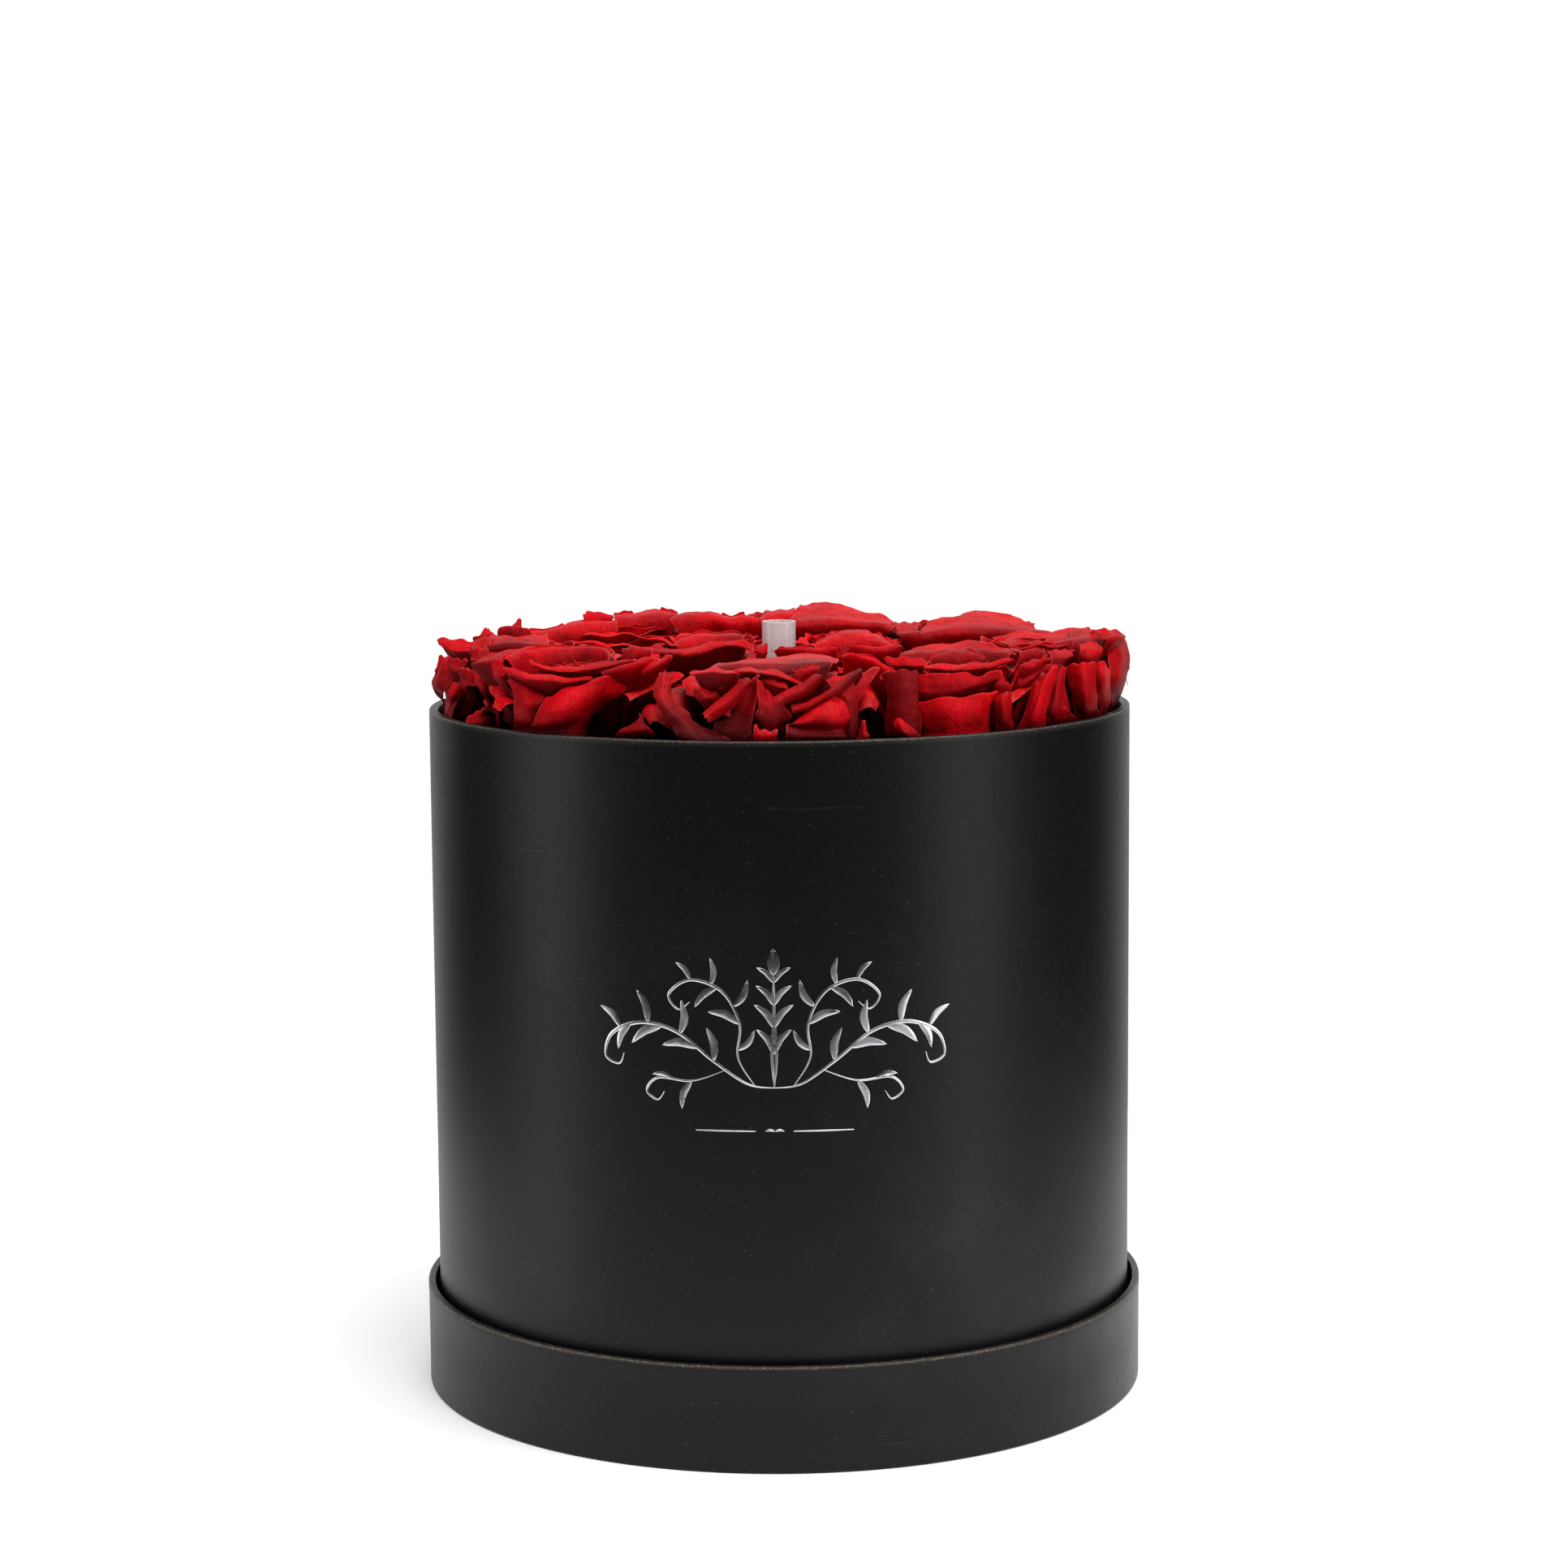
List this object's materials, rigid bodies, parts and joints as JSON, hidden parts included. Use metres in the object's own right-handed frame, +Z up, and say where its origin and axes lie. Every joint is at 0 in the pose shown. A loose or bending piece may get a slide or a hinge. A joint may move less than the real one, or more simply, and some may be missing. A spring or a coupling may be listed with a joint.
{
  "type": "flower box",
  "caption": "Round black flower box in its upturned lid, with preserved red roses on a lift-out tray over a hidden scent diffuser and its clear outlet tube.",
  "frame": {"origin": "centre of the stand's underside, on the table", "axes": "+Z up along the box's axis, -Y towards the front, +X to the right seen from the front"},
  "size_m": [0.2066, 0.2066, 0.2184],
  "materials": {
    "wrap_paper": "black soft-touch paper over rigid board, matte with a faint sheen",
    "grey_board": "uncoated rigid board",
    "floral_foam": "dark dry floral foam, matte",
    "rose_petal": "preserved red rose petals, velvety",
    "black_plastic": "moulded black plastic, fine texture",
    "button_plastic": "grey glossy push button",
    "white_plastic": "natural white moulded plastic",
    "clear_plastic": "clear plastic",
    "clear_tube": "clear smooth tube",
    "amber_glass": "amber bottle glass",
    "soft_rubber": "translucent silicone rubber",
    "steel": "plated steel",
    "brass": "turned brass",
    "circuit_board": "green solder mask",
    "battery_wrap": "blue shrink sleeve over a metal can",
    "cable_jacket": "black cable jacket"
  },
  "bodies": {
    "stand": {"stand_panel": "wrap_paper", "stand_wall": "wrap_paper"},
    "tray": {"tray_disc": "grey_board", "foam_block": "floral_foam", "tube_guide": "black_plastic", "rose_outer_1": "rose_petal", "rose_outer_2": "rose_petal", "rose_outer_3": "rose_petal", "rose_outer_4": "rose_petal", "rose_outer_5": "rose_petal", "rose_outer_6": "rose_petal", "rose_outer_7": "rose_petal", "rose_outer_8": "rose_petal", "rose_inner_1": "rose_petal", "rose_inner_2": "rose_petal", "rose_inner_3": "rose_petal", "rose_inner_4": "rose_petal"},
    "tube": {"outlet_tube": "clear_tube"},
    "gasket": {"bottle_gasket": "soft_rubber"},
    "bottle": {"oil_bottle": "amber_glass"},
    "crank": {"pump_crank": "steel"},
    "button": {"power_button": "button_plastic"},
    "box": {"box_wall": "wrap_paper", "box_floor": "grey_board", "support_sleeve": "grey_board", "port_plate": "black_plastic", "port_core": "black_plastic", "port_clamp": "black_plastic", "port_board": "circuit_board", "button_switch": "steel", "charge_socket": "steel", "status_light": "clear_plastic", "port_screw_low": "steel", "port_screw_high": "steel", "diffuser_base": "black_plastic", "diffuser_shell": "black_plastic", "diffuser_cover": "black_plastic", "floor_pad": "soft_rubber", "cover_screw_1": "steel", "cover_screw_2": "steel", "cover_screw_3": "steel", "atomiser_body": "white_plastic", "atomiser_jet": "brass", "dip_tube": "clear_plastic", "tube_seal": "soft_rubber", "battery_cell": "battery_wrap", "battery_cradle": "white_plastic", "main_board": "circuit_board", "control_chip": "black_plastic", "pump_boot": "soft_rubber", "pump_motor": "steel", "pump_crankcase": "black_plastic", "pump_diaphragm": "soft_rubber", "pump_valve_head": "white_plastic", "air_hose": "soft_rubber", "port_cable": "cable_jacket"}
  },
  "joints": [
    {"name": "box_lift", "type": "slide", "parent": "stand", "child": "box", "axis": [0, 0, 1], "range_m": [0, 0.06]},
    {"name": "tray_lift", "type": "slide", "parent": "box", "child": "tray", "axis": [0, 0, 1], "range_m": [0, 0.105]},
    {"name": "tube_pull", "type": "slide", "parent": "box", "child": "tube", "axis": [0, 0, 1], "range_m": [0, 0.02]},
    {"name": "button_press", "type": "slide", "parent": "box", "child": "button", "axis": [0, -1, 0], "range_m": [0, 0.001], "stiffness_N_per_m": 300},
    {"name": "pump_spin", "type": "hinge", "parent": "box", "child": "crank", "pos_m": [-0.0285, 0, 0.03], "axis": [0, 0, 1], "continuous": true},
    {"name": "bottle_drop", "type": "slide", "parent": "box", "child": "gasket", "axis": [0, 0, -1], "range_m": [0, 0.0045]},
    {"name": "bottle_turn", "type": "hinge", "parent": "gasket", "child": "bottle", "pos_m": [0, 0, 0.04], "axis": [0, 0, 1], "range_deg": [0, 540]}
  ],
  "couplings": [
    {"joint": "bottle_drop", "follows": "bottle_turn", "m_per_rad": 0.00047746}
  ]
}
